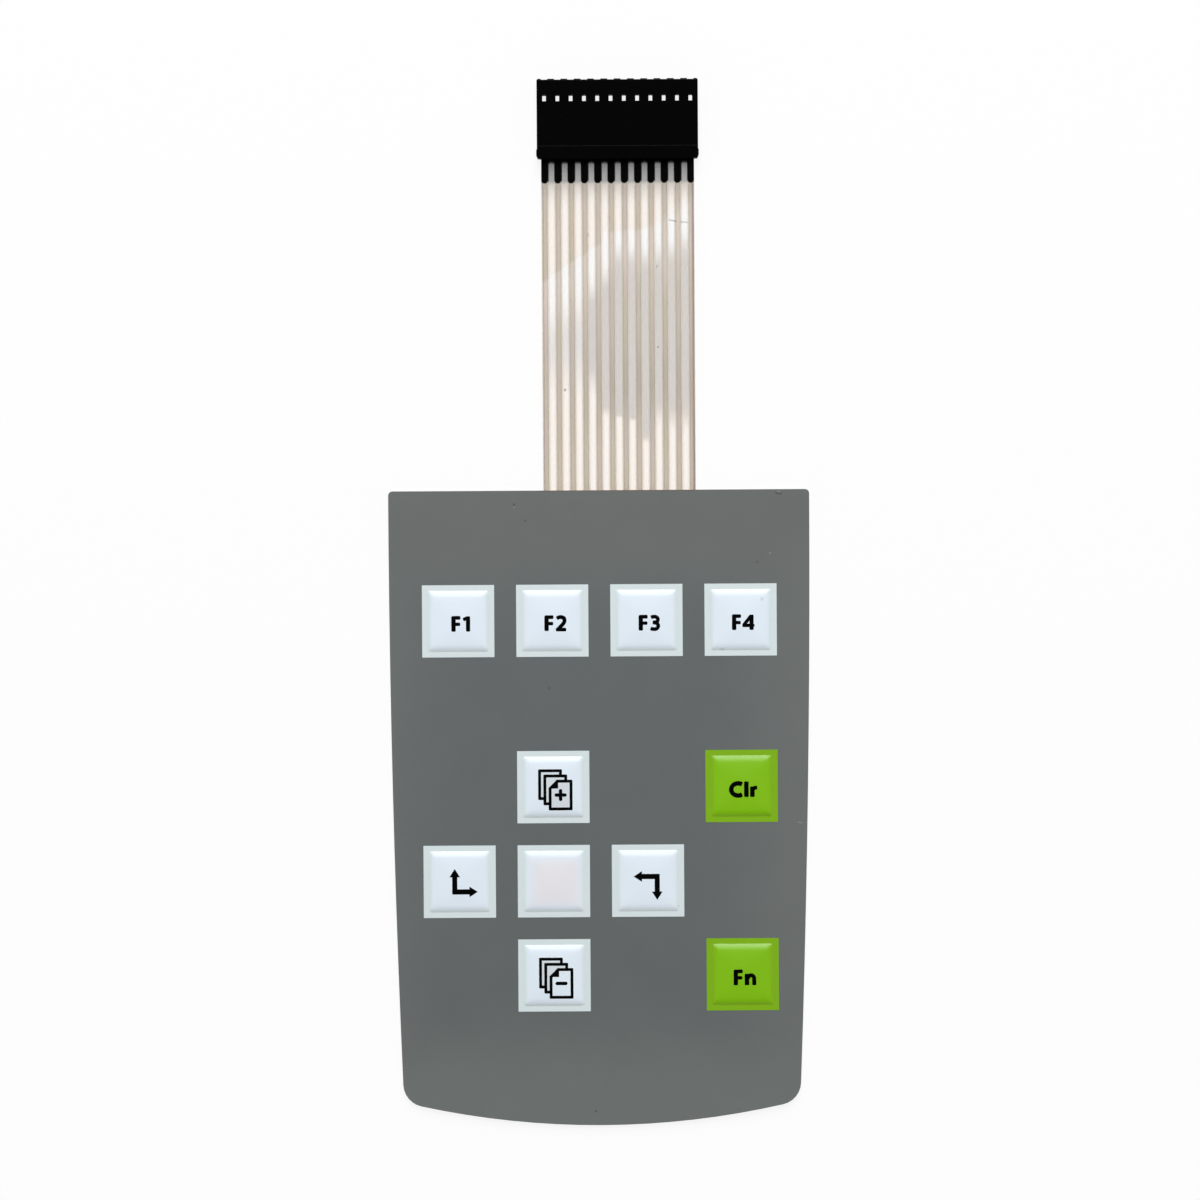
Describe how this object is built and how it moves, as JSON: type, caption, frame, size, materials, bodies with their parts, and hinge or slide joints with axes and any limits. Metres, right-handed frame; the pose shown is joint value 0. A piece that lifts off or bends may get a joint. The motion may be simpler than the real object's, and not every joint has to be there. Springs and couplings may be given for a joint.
{
  "type": "membrane keypad",
  "caption": "Flat membrane keypad: embossed white and green keys on a grey graphic overlay, laminated switch layers, and a flat printed tail that ends in a black single-row socket.",
  "frame": {"origin": "middle of the panel on its rear face, which is the back of the release liner", "axes": "+X to the right and +Y towards the tail and the socket as the face is read, +Z out of the face"},
  "size_m": [0.0804, 0.2, 0.003],
  "materials": {
    "liner_paper": "smooth silicone-coated paper",
    "adhesive": "tacky, translucent",
    "clear_film": "clear polyester",
    "spacer_film": "adhesive-coated polyester",
    "cover_film": "clear polyester, satin",
    "silver_ink": "screen-printed silver ink",
    "carbon_ink": "screen-printed carbon ink",
    "overlay_grey": "fine satin texture",
    "key_white": "satin, printed white",
    "key_green": "satin, printed green",
    "black_nylon": "moulded, slightly glossy",
    "tin_plate": "tin-plated sheet"
  },
  "bodies": {
    "root": {"release_liner": "liner_paper", "rear_adhesive": "adhesive", "lower_circuit": "clear_film", "silver_traces": "silver_ink", "carbon_contacts": "carbon_ink", "tail_cover": "cover_film", "circuit_spacer": "spacer_film", "shorting_pads": "carbon_ink", "upper_membrane": "clear_film", "overlay_adhesive": "adhesive", "graphic_overlay": "overlay_grey", "white_key_fields": "key_white", "green_key_fields": "key_green", "connector_housing": "black_nylon", "terminal_1": "tin_plate", "terminal_2": "tin_plate", "terminal_3": "tin_plate", "terminal_4": "tin_plate", "terminal_5": "tin_plate", "terminal_6": "tin_plate", "terminal_7": "tin_plate", "terminal_8": "tin_plate", "terminal_9": "tin_plate", "terminal_10": "tin_plate", "terminal_11": "tin_plate", "terminal_12": "tin_plate"}
  },
  "joints": []
}
